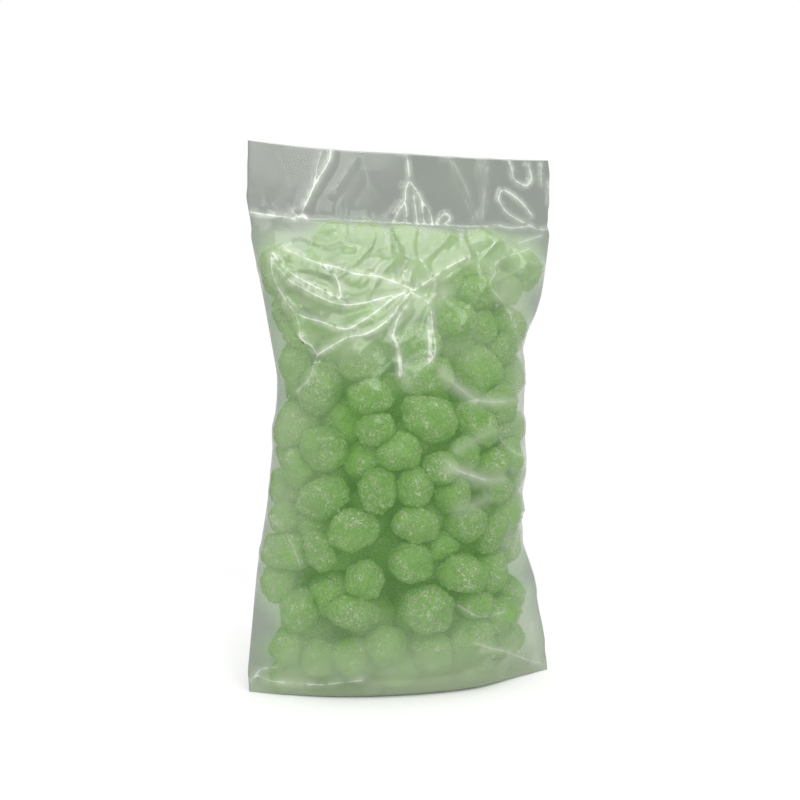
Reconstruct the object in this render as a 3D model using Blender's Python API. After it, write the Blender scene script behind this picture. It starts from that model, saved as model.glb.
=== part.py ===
"""A clear film bag filled with loose-fill packing peanuts, standing on its base.

The bag is one length of film tube. It is closed by a seam across its base, whose two ends stand out
as flat ears, and by a heat seal near the top, above which the two plies go on as a flat open header.
The fill is puffed starch peanuts. The front ones are placed as they lie behind the film, and the rest
are settled around them. Metres, +Z up, front towards -Y, origin at the middle of the base.
"""
import math

import bmesh
import bpy
import numpy as np
from mathutils import Vector
from mathutils.bvhtree import BVHTree

MM = 0.001

# The film tube
TUBE_WIDTH = 172 * MM
SEAL_HEIGHT = 252 * MM
SEAL_BAND = 3 * MM
HEADER_HEIGHT = 39 * MM
FILM_WALL = 0.15 * MM
PLY_GAP = 0.6 * MM
MOUTH_GAP = 2.4 * MM

# The filled pillow: half its depth at shares of the height of the seal
PILLOW_HALF_DEPTH = 39 * MM
BASE_HALF_DEPTH = 29 * MM
DEPTH_PROFILE = ((0.12, 0.93), (0.3, 1.0), (0.6, 0.98), (0.75, 0.86), (0.86, 0.6), (0.94, 0.34))
LENS_POWER = 0.75
BASE_ROUNDING = 7 * MM

# How far the fill draws each side fold in at the waist, and what share of that at shares of the
# height of the seal
WAIST_DRAWN_IN = 17 * MM
LEFT_DRAWN_IN = ((0.0, 0.0), (0.26, 0.35), (0.4, 0.68), (0.65, 1.0), (0.84, 0.5), (1.0, 0.0))
RIGHT_DRAWN_IN = ((0.0, 0.0), (0.18, 0.47), (0.235, 0.65), (0.28, 1.0), (0.38, 1.06), (0.46, 0.85),
                  (0.6, 0.97), (0.68, 0.85), (0.74, 1.09), (0.79, 0.59), (0.85, 0.3), (1.0, 0.0))

# The flat ears of the base seam: width on the floor, and height where they run out
LEFT_EAR_WIDTH = 12 * MM
LEFT_EAR_HEIGHT = 46 * MM
RIGHT_EAR_WIDTH = 19 * MM
RIGHT_EAR_HEIGHT = 62 * MM

# An unsealed pucker in the heat seal, the only way out of the bag
PUCKER_ACROSS = -55 * MM
PUCKER_RISE = 1.5 * MM

# Places on the front are given on a scale on which the waist reaches 69 to each side and the seal
# is 252 up, and sizes on one on which a usual peanut's half length is 13.5
FRONT_SCALE = (69.0, 252.0)
SIZE_SCALE = 13.5

# Creases pulled in the film below the seal, as runs of (across, up) on the front's scale
CREASES = (
    ((-62, 235), (-41, 225), (-22, 218), (7, 210)),
    ((-69, 231), (-55, 214), (-33, 204), (7, 210)),
    ((-69, 231), (-58, 201), (-30, 190), (7, 210)),
    ((-58, 201), (-54, 186), (-45, 177), (-2, 202)),
    ((7, 210), (16, 216), (36, 228)),
    ((7, 210), (16, 203), (16, 177), (7, 168)),
    ((75, 234), (56, 227), (50, 212), (67, 185)),
)
CREASE_HEIGHT = 1.2 * MM
CREASE_WIDTH = 5 * MM

# Film mesh
FILM_COLUMNS = 20
FILM_STEP = 9.5 * MM
BASE_ROWS = (0.0, 0.5, 0.82)
HEADER_ROWS = 3
DRAPE_STEPS = 240
SLACK_SHARE = 0.8
BASE_FIRST_ROW = 0.35
BASE_EDGE_SHARE = 0.9

# The peanuts
PEANUT_HALF_LENGTH = 13.5 * MM
PEANUT_HALF_WIDTH = 11.5 * MM
PEANUT_HALF_THICKNESS = 10.5 * MM
CORE_GROWTH = 1.14
BACK_GROWTH = 1.06
SIZE_SPREAD = 0.1
DEPTH_SPREAD = 2 * MM
STRAY = 0.3
SECOND_INSET = 5 * MM
SQUASH = 0.82
LUMP = 0.06
GAP = 0.3 * MM
SIDE_ROOM = 1.5 * MM
SKIN_SPARE = 0.06 * MM
SHRINK = 0.97
SHRINK_TRIES = 12
FILL_SEED = 13
BACK_ROWS = 10
BACK_COLUMNS = 6
BACK_SPAN = (0.045, 0.925)
CORE_ROWS = 9
CORE_COLUMNS = 5
CORE_SPAN = (0.07, 0.84)
LAYER_REACH = 0.9
FRONT_LAYER, SECOND_LAYER, CORE_LAYER, BACK_LAYER = -1.0, -0.7, 0.0, 1.0
SLOT_PROPORTIONS = (0.28, 0.12, 1.0)
SETTLE_STEPS = 260
STUCK_PULL = 0.25
SPREAD = 0.12
SPREAD_RANGE = 4 * MM
HOLD_PULL = (0.6, 0.18, 0.6)
SIDE_SHARE = 0.95
WALL_SHARE = 0.9
SINK_STEP = 0.5 * MM
CLUSTER_COUNT = 26
NEAR_PAIRS = 260
NECK_TRIES = 14
HIDDEN_COST = 50

# Peanuts against the front film: across and up on the front's scale, half length and half width on
# the size scale, and tilt in degrees
FRONT_PEANUTS = (
    (37, 214, 13, 10, 15), (-46, 208, 11, 9, 0), (24, 196, 12, 10, -10), (52, 182, 9, 10, 0),
    (-48, 160, 15, 12, 70), (-28, 174, 13, 12, 0), (-24, 155, 12, 10, 0), (-21, 139, 11, 9, 0),
    (2, 184, 13, 10, 0), (6, 166, 16, 11, 10), (50, 153, 12, 12, 0), (7, 145, 16, 12, -28),
    (34, 141, 15, 10, -40), (-47, 128, 13, 12, 0), (-10, 127, 13, 10, 12), (26, 126, 8, 9, 0),
    (13, 118, 10, 9, 0), (-1, 109, 10, 11, 0), (-20, 107, 12, 10, 80), (-47, 103, 14, 11, 20),
    (20, 104, 10, 9, 0), (48, 106, 9, 9, 0), (28, 89, 12, 10, 0), (42, 82, 12, 8, 60),
    (-1, 90, 14, 10, -15), (-33, 87, 15, 11, 15), (-3, 70, 12, 11, 0), (25, 63, 15, 10, -15),
    (-27, 61, 10, 10, 0), (-49, 76, 12, 8, -70), (-33, 45, 15, 9, -15), (6, 45, 14, 13, 0),
    (31, 25, 14, 11, 20),
)

# Peanuts seen between and behind them
SECOND_PEANUTS = (
    (-49, 230, 9, 7, 0), (-31, 234, 9, 7, 0), (-12, 231, 10, 7, 0), (9, 227, 11, 9, 10),
    (43, 230, 9, 7, 0), (24, 217, 9, 8, 90), (61, 217, 9, 9, 0), (-25, 213, 10, 9, 0),
    (-63, 204, 12, 8, 90), (-26, 196, 11, 9, 0), (-56, 189, 10, 9, 0), (4, 204, 10, 8, 0),
    (43, 196, 9, 8, 90), (-60, 173, 12, 8, 90), (39, 170, 15, 13, 0), (44, 119, 9, 7, 0),
    (57, 124, 11, 8, 90), (-60, 118, 11, 9, 90), (-65, 92, 10, 8, 90), (16, 76, 10, 8, 0),
    (45, 62, 13, 9, 85), (34, 43, 10, 9, 0), (-68, 58, 11, 9, 90), (-58, 44, 12, 10, 90),
    (-64, 22, 10, 9, 90), (-49, 18, 10, 9, 0), (-33, 20, 10, 9, 0), (-14, 25, 11, 10, 0),
    (12, 21, 12, 10, 0), (54, 38, 12, 10, 0), (57, 17, 10, 9, 0),
)

FILM_COLOUR = (0.72, 0.76, 0.72, 0.3)
PEANUT_COLOUR = (0.33, 0.47, 0.2, 1.0)


def smooth_read(points, share):
    """Read a list of (place, value) points along one smooth line."""
    places = np.array([point[0] for point in points])
    values = np.array([point[1] for point in points])
    fine = np.linspace(places[0], places[-1], 161)
    line = np.interp(fine, places, values)
    for _ in range(10):
        line[1:-1] = (line[:-2] + 2 * line[1:-1] + line[2:]) / 4
    return np.interp(share, fine, line)


def fold_reach(up, right):
    """Half width of the film at a height, out to its side fold."""
    drawn = np.where(right, smooth_read(RIGHT_DRAWN_IN, up / SEAL_HEIGHT),
                     smooth_read(LEFT_DRAWN_IN, up / SEAL_HEIGHT))
    return TUBE_WIDTH / 2 - drawn * WAIST_DRAWN_IN


def front_place(across, up):
    """A place on the front's scale, in metres."""
    return (across / FRONT_SCALE[0] * (TUBE_WIDTH / 2 - WAIST_DRAWN_IN),
            up / FRONT_SCALE[1] * SEAL_HEIGHT)


def ear_width(up, right):
    """Width of the flat ear outside the pillow at a height."""
    left_width = LEFT_EAR_WIDTH * np.clip(1 - up / LEFT_EAR_HEIGHT, 0, 1)
    right_width = RIGHT_EAR_WIDTH * np.clip(1 - up / RIGHT_EAR_HEIGHT, 0, 1)
    return np.where(right, right_width, left_width)


def profile_half_depth(up):
    """Half depth of the pillow at a height, on its middle line."""
    points = ((0.0, BASE_HALF_DEPTH),) + tuple(
        (share, part * PILLOW_HALF_DEPTH) for share, part in DEPTH_PROFILE) + ((1.0, 0.0),)
    return smooth_read(points, up / SEAL_HEIGHT)


def room_half_depth(across, up):
    """Half depth of the room inside the pillow at a point of its front."""
    right = across > 0
    reach = fold_reach(up, right) - ear_width(up, right)
    share = np.clip(np.abs(across) / reach, 0, 1)
    return profile_half_depth(up) * (1 - share ** 2) ** LENS_POWER


def turn_matrix(generator):
    """A turn of any direction, from the seeded generator."""
    quaternion = generator.normal(size=4)
    w, x, y, z = quaternion / np.linalg.norm(quaternion)
    return np.array(((1 - 2 * (y * y + z * z), 2 * (x * y - z * w), 2 * (x * z + y * w)),
                     (2 * (x * y + z * w), 1 - 2 * (x * x + z * z), 2 * (y * z - x * w)),
                     (2 * (x * z - y * w), 2 * (y * z + x * w), 1 - 2 * (x * x + y * y))))


def tilt_matrix(degrees):
    """A turn in the plane of the bag's front."""
    angle = math.radians(degrees)
    return np.array(((math.cos(angle), 0, -math.sin(angle)),
                     (0, 1, 0),
                     (math.sin(angle), 0, math.cos(angle))))


def placed_peanuts():
    """The peanuts read from the front: places, half sizes, turns, hold and slots."""
    rows = []
    usual = PEANUT_HALF_LENGTH / SIZE_SCALE
    for group, hold, inset, layer in ((FRONT_PEANUTS, 0.5, 0.0, FRONT_LAYER),
                                      (SECOND_PEANUTS, 0.2, SECOND_INSET, SECOND_LAYER)):
        for across, up, half_length, half_width, tilt in group:
            x, z = front_place(across, up)
            thickness = min(half_width * usual, PEANUT_HALF_THICKNESS)
            size = np.array((half_length * usual, thickness, half_width * usual))
            y = min(size[1] + inset - room_half_depth(x, z), 0.0)
            slot = (across / FRONT_SCALE[0], layer, up / FRONT_SCALE[1])
            rows.append((np.array((x, y, z)), size, tilt_matrix(tilt), hold, slot))
    return rows


def loose_peanuts(generator):
    """The peanuts of the core and the back layer, in staggered rows, before they settle."""
    usual = np.array((PEANUT_HALF_LENGTH, PEANUT_HALF_WIDTH, PEANUT_HALF_THICKNESS))
    rows = []
    layers = ((BACK_ROWS, BACK_COLUMNS, BACK_SPAN, BACK_GROWTH, BACK_LAYER),
              (CORE_ROWS, CORE_COLUMNS, CORE_SPAN, CORE_GROWTH, CORE_LAYER))
    for row_count, column_count, span, growth, layer in layers:
        for row, column in np.ndindex(row_count, column_count):
            stray_across, stray_up = generator.uniform(-STRAY, STRAY, 2)
            stagger = 0.25 if row % 2 else -0.25
            share = (column + 0.5 + stagger + stray_across) / column_count * 2 - 1
            up_share = span[0] + (span[1] - span[0]) * (row + stray_up) / (row_count - 1)
            up = SEAL_HEIGHT * up_share
            across = share * LAYER_REACH * float(fold_reach(up, share > 0) - ear_width(up, share > 0))
            depth = layer * max(float(room_half_depth(across, up)) - PEANUT_HALF_THICKNESS, 0.0)
            size = usual * growth * generator.uniform(1 - SIZE_SPREAD, 1 + SIZE_SPREAD, 3)
            shift = generator.uniform(-DEPTH_SPREAD, DEPTH_SPREAD)
            rows.append((np.array((across, depth + shift, up)), size, turn_matrix(generator), 0.0,
                         (share, layer, up_share)))
    return rows


def reach_table(centres, forms):
    """Distances between centres, directions, and each peanut's reach towards each other."""
    apart = centres[None, :, :] - centres[:, None, :]
    distance = np.linalg.norm(apart, axis=2) + 1e-9
    direction = apart / distance[:, :, None]
    reach = 1 / np.sqrt(np.einsum("ijk,ikl,ijl->ij", direction, forms, direction) + 1e-12)
    return distance, direction, reach


def settle(anchors, forms, holds, grouped):
    """Push the peanuts apart inside the room, and the stuck ones together, until they lie squashed."""
    centres = anchors.copy()
    stuck = np.zeros((len(anchors), len(anchors)), dtype=bool)
    for _, links in grouped:
        for a, b in links:
            stuck[a, b] = stuck[b, a] = True
    free = 1 - holds
    side_reach = 1 / np.sqrt(forms[:, 0, 0])
    depth_reach = 1 / np.sqrt(forms[:, 1, 1])
    up_reach = 1 / np.sqrt(forms[:, 2, 2])
    for _ in range(SETTLE_STEPS):
        distance, direction, reach = reach_table(centres, forms)
        overlap = SQUASH * (reach + reach.T) - distance
        np.fill_diagonal(overlap, 0)
        spread = np.clip(overlap + SPREAD_RANGE, 0, None) * SPREAD
        push = np.maximum(overlap, 0) + np.where(stuck, np.minimum(overlap, 0) * STUCK_PULL, spread)
        weight = free[:, None] / (free[:, None] + free[None, :] + 1e-6)
        centres = centres - (direction * (push * weight)[:, :, None]).sum(axis=1) / 2
        centres = centres + (anchors - centres) * holds[:, None] * np.array(HOLD_PULL)
        right = centres[:, 0] > 0
        height = np.clip(centres[:, 2], 0, SEAL_HEIGHT)
        limit = fold_reach(height, right) - ear_width(height, right) - side_reach * SIDE_SHARE
        centres[:, 0] = np.clip(centres[:, 0], -limit, limit)
        room = room_half_depth(centres[:, 0], height) - depth_reach * WALL_SHARE
        centres[:, 2] = np.where(room < 0, centres[:, 2] - SINK_STEP, centres[:, 2])
        room = np.maximum(room, 0)
        centres[:, 1] = np.clip(centres[:, 1], -room, room)
        centres[:, 2] = np.maximum(centres[:, 2], up_reach * WALL_SHARE)
    return centres


def ball_mesh():
    """Vertices and faces of a unit ball of triangles."""
    ball = bmesh.new()
    bmesh.ops.create_icosphere(ball, subdivisions=2, radius=1.0)
    points = np.array([vertex.co[:] for vertex in ball.verts])
    faces = [tuple(vertex.index for vertex in face.verts) for face in ball.faces]
    ball.free()
    return points, faces


def lumpy(points, generator):
    """Swell a unit ball here and there, as puffed starch does."""
    swell = np.zeros(len(points))
    for _ in range(4):
        axis = generator.normal(size=3)
        axis /= np.linalg.norm(axis)
        swell += np.cos(points @ axis * generator.uniform(2.0, 4.0) + generator.uniform(0, 6.28))
    return points * (1 + LUMP * swell / 4 + LUMP / 2)[:, None]


def shaped_peanuts(centres, forms, sizes, turns, generator):
    """Each peanut's points, kept on its own side of the plane between it and each neighbour."""
    unit, faces = ball_mesh()
    distance, direction, reach = reach_table(centres, forms)
    shapes = []
    for index, centre in enumerate(centres):
        points = centre + (lumpy(unit, generator) * sizes[index]) @ turns[index].T
        span = sizes[index].max() * (1 + LUMP * 2)
        for other in range(len(centres)):
            if other == index or distance[index, other] > span + sizes[other].max() * (1 + LUMP * 2):
                continue
            share = reach[index, other] / (reach[index, other] + reach[other, index])
            limit = distance[index, other] * share - GAP / 2
            away = (points - centre) @ direction[index, other]
            points -= np.clip(away - limit, 0, None)[:, None] * direction[index, other]
        shapes.append(points)
    return shapes, faces


def film_levels():
    """Heights of the film's rows above the base, and which rows bound the seal."""
    low = [0.0, BASE_ROUNDING * BASE_FIRST_ROW, BASE_ROUNDING]
    band_low = SEAL_HEIGHT - SEAL_BAND / 2
    band_high = SEAL_HEIGHT + SEAL_BAND / 2
    count = max(2, round((band_low - BASE_ROUNDING) / FILM_STEP))
    middle = [BASE_ROUNDING + (band_low - BASE_ROUNDING) * n / count for n in range(1, count + 1)]
    header = [band_high + (HEADER_HEIGHT - SEAL_BAND / 2) * n / HEADER_ROWS
              for n in range(1, HEADER_ROWS + 1)]
    levels = np.array(low + middle + [band_high] + header)
    seal_row = len(low) + len(middle) - 1
    return levels, seal_row


def obstacle_depth(grid_across, grid_up, shapes, faces, side):
    """How far the peanuts stand out towards one side, at each point of a grid."""
    points = []
    triangles = []
    for shape in shapes:
        start = len(points)
        points.extend(Vector(point) for point in shape)
        triangles.extend(tuple(start + corner for corner in face) for face in faces)
    tree = BVHTree.FromPolygons(points, triangles)
    outside = PILLOW_HALF_DEPTH * 3
    depth = np.zeros(grid_across.shape)
    for row, column in np.ndindex(grid_across.shape):
        start = Vector((grid_across[row, column], side * outside, grid_up[row, column]))
        hit = tree.ray_cast(start, Vector((0, -side, 0)), outside)[0]
        if hit is not None:
            depth[row, column] = abs(hit.y) + GAP * 2
    return depth


def draped_depth(grid_across, grid_up, seal_row, obstacle):
    """Half depth of the film: pulled taut over the peanuts between its folds, seal and base."""
    right = grid_across > 0
    pillow = fold_reach(np.clip(grid_up, 0, SEAL_HEIGHT), right) - ear_width(grid_up, right)
    flat = (np.abs(grid_across) >= pillow - 0.1 * MM) | (np.arange(len(grid_up))[:, None] >= seal_row)
    flat[:, 0] = True
    flat[:, -1] = True
    room = room_half_depth(grid_across, np.clip(grid_up, 0, SEAL_HEIGHT))
    depth = np.where(flat, PLY_GAP / 2, np.maximum(obstacle, room * SLACK_SHARE))
    for _ in range(DRAPE_STEPS):
        mean = depth.copy()
        mean[1:-1, 1:-1] = (depth[:-2, 1:-1] + depth[2:, 1:-1] + depth[1:-1, :-2] + depth[1:-1, 2:]) / 4
        mean[0] = depth[1]
        taut = np.maximum(mean, np.maximum(obstacle, PLY_GAP / 2))
        depth = np.where(flat, PLY_GAP / 2, taut)
    return depth


def crease_relief(across, up):
    """Height of the pulled creases over the taut film."""
    relief = np.zeros(across.shape)
    for run in CREASES:
        places = [front_place(*place) for place in run]
        for (x0, z0), (x1, z1) in zip(places, places[1:]):
            along_x, along_z = x1 - x0, z1 - z0
            length = math.hypot(along_x, along_z)
            share = np.clip(((across - x0) * along_x + (up - z0) * along_z) / length ** 2, 0, 1)
            off = np.hypot(across - x0 - share * along_x, up - z0 - share * along_z)
            relief = np.maximum(relief, np.exp(-(off / CREASE_WIDTH) ** 2))
    return relief * CREASE_HEIGHT


def film_panels(shapes, faces):
    """The inner face of the front and back panels, row by row from the seam of the base to the top."""
    levels, seal_row = film_levels()
    shares = np.linspace(-1, 1, FILM_COLUMNS + 1)
    up = np.repeat(levels[:, None], FILM_COLUMNS + 1, axis=1)
    right = np.repeat(shares[None, :] > 0, len(levels), axis=0)
    reach = fold_reach(np.clip(up, 0, SEAL_HEIGHT), right) - FILM_WALL
    across = reach * shares[None, :]
    pucker_column = int(np.argmin(np.abs(across[seal_row] - PUCKER_ACROSS)))
    pucker_column = min(max(pucker_column, 1), FILM_COLUMNS - 2)
    panels = {}
    for side in (-1, 1):
        obstacle = obstacle_depth(across, up, shapes, faces, side)
        obstacle[0] = 0
        depth = draped_depth(across, up, seal_row, obstacle)
        if side < 0:
            depth += np.where(depth > PLY_GAP, crease_relief(across, up), 0)
        header = np.clip((up - SEAL_HEIGHT) / HEADER_HEIGHT, 0, 1)
        part = header * (1 - shares[None, :] ** 2) * (MOUTH_GAP - PLY_GAP) / 2
        depth = depth + part
        for row in (seal_row, seal_row + 1):
            for column in (pucker_column, pucker_column + 1):
                depth[row, column] += PUCKER_RISE / 2
        rounding = np.sqrt(np.clip(1 - (1 - up / BASE_ROUNDING) ** 2, 0, 1))
        low = up < BASE_ROUNDING
        base_edge = np.maximum(depth - BASE_ROUNDING * BASE_EDGE_SHARE, depth * BASE_ROWS[-1])
        depth = np.where(low, base_edge + (depth - base_edge) * rounding, depth)
        upper = np.stack((across, side * depth, up + FILM_WALL), axis=2)
        floor = np.full(FILM_COLUMNS + 1, FILM_WALL)
        base = [np.stack((across[0], side * depth[0] * share, floor), axis=1) for share in BASE_ROWS]
        panels[side] = np.concatenate((np.array(base), upper))
    return panels, seal_row + len(BASE_ROWS), pucker_column


def shell_layout(row_count, seal_row, pucker_column):
    """Vertex numbers of one shell of the tube, and its faces with and without the weld."""
    numbers = {}
    order = []
    for side in (-1, 1):
        for row in range(row_count):
            for column in range(FILM_COLUMNS + 1):
                shared = side > 0 and (row == 0 or column in (0, FILM_COLUMNS))
                if shared:
                    numbers[side, row, column] = numbers[-1, row, column]
                else:
                    numbers[side, row, column] = len(order)
                    order.append((side, row, column))
    whole = []
    welded = []
    for side in (-1, 1):
        for row in range(row_count - 1):
            for column in range(FILM_COLUMNS):
                corners = [numbers[side, row, column], numbers[side, row, column + 1],
                           numbers[side, row + 1, column + 1], numbers[side, row + 1, column]]
                if side > 0:
                    corners.reverse()
                split = [(corners[0], corners[1], corners[2]), (corners[0], corners[2], corners[3])]
                split = [face for face in split if len(set(face)) == 3]
                whole.extend(split)
                if row != seal_row or column == pucker_column:
                    welded.extend(split)
    rims = weld_rims(seal_row, pucker_column)
    for start, end in rims:
        front_start, front_end = numbers[-1, *start], numbers[-1, *end]
        back_start, back_end = numbers[1, *start], numbers[1, *end]
        for face in ((front_start, front_end, back_end), (front_start, back_end, back_start)):
            if len(set(face)) == 3:
                welded.append(face)
    return order, whole, welded


def weld_rims(seal_row, pucker_column):
    """Edges around the two runs of weld, one on each side of the pucker, as (row, column) pairs."""
    rims = []
    low, high = seal_row, seal_row + 1
    for first, last in ((0, pucker_column), (pucker_column + 1, FILM_COLUMNS)):
        for column in range(first, last):
            rims.append(((low, column), (low, column + 1)))
            rims.append(((high, column + 1), (high, column)))
        if last != FILM_COLUMNS:
            rims.append(((low, last), (high, last)))
        if first != 0:
            rims.append(((high, first), (low, first)))
    return rims


def film_mesh(panels, seal_row, pucker_column):
    """One closed solid: the outer shell, the inner shell with its weld, and the rim of the mouth."""
    row_count = len(panels[-1])
    order, whole, welded = shell_layout(row_count, seal_row, pucker_column)
    inner = np.array([panels[side][row, column] for side, row, column in order])
    for number, (side, row, column) in enumerate(order):
        if row == 0:
            inner[number, 1] = 0.0
        elif column in (0, FILM_COLUMNS):
            inner[number, 1] = 0.0
    normals = np.zeros(inner.shape)
    for face in whole:
        a, b, c = (inner[corner] for corner in face)
        normal = np.cross(b - a, c - a)
        for corner in face:
            normals[corner] += normal
    normals /= np.linalg.norm(normals, axis=1)[:, None]
    outer = inner + normals * FILM_WALL
    for number, (side, row, column) in enumerate(order):
        if row < len(BASE_ROWS) + 1:
            outer[number, 2] = 0.0
        if row == row_count - 1:
            outer[number, 2] = inner[number, 2]
    points = np.concatenate((outer, inner))
    start = len(outer)
    faces = list(whole)
    faces += [tuple(start + corner for corner in reversed(face)) for face in welded]
    index = {key: number for number, key in enumerate(order)}
    for column in range(FILM_COLUMNS):
        for side in (-1, 1):
            ends = []
            for place in (column, column + 1):
                key = (side, row_count - 1, place)
                if key not in index:
                    key = (-1, row_count - 1, place)
                ends.append(index[key])
            if side > 0:
                ends.reverse()
            first, second = ends
            faces.append((first, second, start + second))
            faces.append((first, start + second, start + first))
    return points, faces, inner, whole


def keep_inside(shapes, faces, inner, inner_faces):
    """Press the peanuts' points clear of the film, and draw in any that still meets it."""
    skin = BVHTree.FromPolygons([Vector(point) for point in inner], inner_faces)
    floor = FILM_WALL + GAP
    far = PILLOW_HALF_DEPTH * 3
    for shape in shapes:
        centre = shape.mean(axis=0)
        for number in range(len(shape)):
            x, y, z = shape[number]
            z = max(z, floor)
            limit = fold_reach(np.float64(z), np.bool_(x > 0)) - SIDE_ROOM
            x = min(max(x, -limit), limit)
            side = -1.0 if y < 0 else 1.0
            hit = skin.ray_cast(Vector((x, 0, z)), Vector((0, side, 0)), far)[0]
            room = abs(hit.y) - GAP - SKIN_SPARE if hit is not None else 0.0
            shape[number] = (x, side * min(abs(y), max(room, 0.0)), z)
        tight = inner - np.sign(inner[:, 1])[:, None] * np.array((0, GAP, 0))
        tree = BVHTree.FromPolygons([Vector(point) for point in tight], inner_faces)
        for _ in range(SHRINK_TRIES):
            body = BVHTree.FromPolygons([Vector(point) for point in shape], faces)
            if not body.overlap(tree):
                break
            shape[:] = centre + (shape - centre) * SHRINK
    return shapes


def facing_pair(first, second, faces, first_used, second_used):
    """The two free faces, one on each peanut, that lie closest and look at each other best."""
    middle = (first.mean(axis=0) + second.mean(axis=0)) / 2

    def nearest(points, used):
        sets = [(face, points[list(face)]) for face in faces if face not in used]
        sets.sort(key=lambda item: np.linalg.norm(item[1].mean(axis=0) - middle))
        return sets[:NECK_TRIES]

    def sight(corners, others):
        normal = np.cross(corners[1] - corners[0], corners[2] - corners[0])
        normal /= np.linalg.norm(normal)
        return min(((others - corners[0]) @ normal).min(), 0.0)

    found = None
    second_sets = nearest(second, second_used)
    for face_a, corners_a in nearest(first, first_used):
        for face_b, corners_b in second_sets:
            length = np.linalg.norm(corners_a.mean(axis=0) - corners_b.mean(axis=0))
            hidden = sight(corners_a, corners_b) + sight(corners_b, corners_a)
            score = length - hidden * HIDDEN_COST
            if found is None or score < found[0]:
                found = (score, face_a, face_b)
    return found[1], found[2]


def clusters(slots):
    """Groups of peanuts in neighbouring slots, made until few are left, and the pairs stuck together."""
    places = slots * np.array(SLOT_PROPORTIONS)
    loose = range(len(FRONT_PEANUTS), len(places))
    pairs = sorted((round(float(np.linalg.norm(places[a] - places[b])), 6), a, b)
                   for a in loose for b in loose if a < b)[:NEAR_PAIRS]
    groups = {number: [number] for number in loose}
    links = {number: [] for number in loose}
    home = {number: number for number in loose}
    for limit in range(2, len(places)):
        for _, a, b in pairs:
            keep, gone = home[a], home[b]
            full = keep == gone or len(groups[keep]) + len(groups[gone]) > limit
            if full or len(groups) <= CLUSTER_COUNT:
                continue
            groups[keep] += groups[gone]
            links[keep] += links.pop(gone) + [(a, b)]
            for number in groups.pop(gone):
                home[number] = keep
    return [(groups[key], links[key]) for key in groups]


def joined(shapes, faces, group, links):
    """One closed body: the peanuts of a cluster, stuck together by short necks."""
    used = {number: set() for number in group}
    necks = []
    for a, b in links:
        face_a, face_b = facing_pair(shapes[a], shapes[b], faces, used[a], used[b])
        used[a].add(face_a)
        used[b].add(face_b)
        necks.append((a, b, face_a, face_b))
    starts = {number: place * len(shapes[number]) for place, number in enumerate(group)}
    points = np.concatenate([shapes[number] for number in group])
    opened = {(a, face_a) for a, _, face_a, _ in necks} | {(b, face_b) for _, b, _, face_b in necks}
    body = [tuple(starts[number] + corner for corner in face)
            for number in group for face in faces if (number, face) not in opened]
    for a, b, face_a, face_b in necks:
        ring_a = [starts[a] + corner for corner in face_a]
        turned = [starts[b] + corner for corner in reversed(face_b)]
        ring_b = min((turned[shift:] + turned[:shift] for shift in range(3)),
                     key=lambda ring: sum(np.linalg.norm(points[one] - points[other])
                                          for one, other in zip(ring_a, ring)))
        for corner in range(3):
            after = (corner + 1) % 3
            body.append((ring_a[corner], ring_a[after], ring_b[after]))
            body.append((ring_a[corner], ring_b[after], ring_b[corner]))
    return points, body


def material(name, colour, roughness):
    """A plain material in the part's colour."""
    made = bpy.data.materials.new(name)
    made.use_nodes = True
    shader = made.node_tree.nodes["Principled BSDF"]
    shader.inputs["Base Color"].default_value = (*colour[:3], 1.0)
    shader.inputs["Roughness"].default_value = roughness
    shader.inputs["Alpha"].default_value = colour[3]
    made.diffuse_color = colour
    return made


def add_object(name, points, faces, finish, holder):
    """Make one named object from points and faces."""
    mesh = bpy.data.meshes.new(name)
    mesh.from_pydata([tuple(point) for point in points], [], [tuple(face) for face in faces])
    mesh.update()
    mesh.shade_smooth()
    mesh.set_sharp_from_angle(angle=math.radians(50))
    mesh.materials.append(finish)
    made = bpy.data.objects.new(name, mesh)
    bpy.context.scene.collection.objects.link(made)
    made.parent = holder
    return made


def build():
    for old in list(bpy.data.objects):
        bpy.data.objects.remove(old, do_unlink=True)
    generator = np.random.default_rng(FILL_SEED)
    rows = placed_peanuts() + loose_peanuts(generator)
    anchors = np.array([row[0] for row in rows])
    grouped = clusters(np.array([row[4] for row in rows]))
    sizes = np.array([row[1] for row in rows])
    turns = np.array([row[2] for row in rows])
    holds = np.array([row[3] for row in rows])
    forms = np.einsum("nij,nj,nkj->nik", turns, 1 / sizes ** 2, turns)
    centres = settle(anchors, forms, holds, grouped)
    shapes, faces = shaped_peanuts(centres, forms, sizes, turns, generator)
    panels, seal_row, pucker_column = film_panels(shapes, faces)
    points, film_faces, inner, inner_faces = film_mesh(panels, seal_row, pucker_column)
    shapes = keep_inside(shapes, faces, inner, inner_faces)
    middle = np.array((0, (points[:, 1].min() + points[:, 1].max()) / 2, 0))
    points = points - middle
    shapes = [shape - middle for shape in shapes]

    holder = bpy.data.objects.new("packing_peanut_bag", None)
    bpy.context.scene.collection.objects.link(holder)
    film_finish = material("clear_film", FILM_COLOUR, 0.12)
    peanut_finish = material("puffed_starch", PEANUT_COLOUR, 0.9)
    add_object("bag_film", points, film_faces, film_finish, holder)
    for number in range(len(FRONT_PEANUTS)):
        add_object(f"front_peanut_{number + 1:02d}", shapes[number], faces, peanut_finish, holder)
    for number, (group, links) in enumerate(grouped):
        body_points, body_faces = joined(shapes, faces, group, links)
        add_object(f"peanut_cluster_{number + 1:02d}", body_points, body_faces, peanut_finish, holder)


build()
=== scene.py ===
"""Looks of the clear film bag of packing peanuts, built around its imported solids.

The film is one thin sheet of tube, draped over the peanuts and creased, and every peanut gets the
crinkled skin of puffed starch. Metres, +Z up, front towards -Y.
"""

import math

import bmesh
import bpy
import numpy as np
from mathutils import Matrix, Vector
from mathutils.bvhtree import BVHTree


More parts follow.
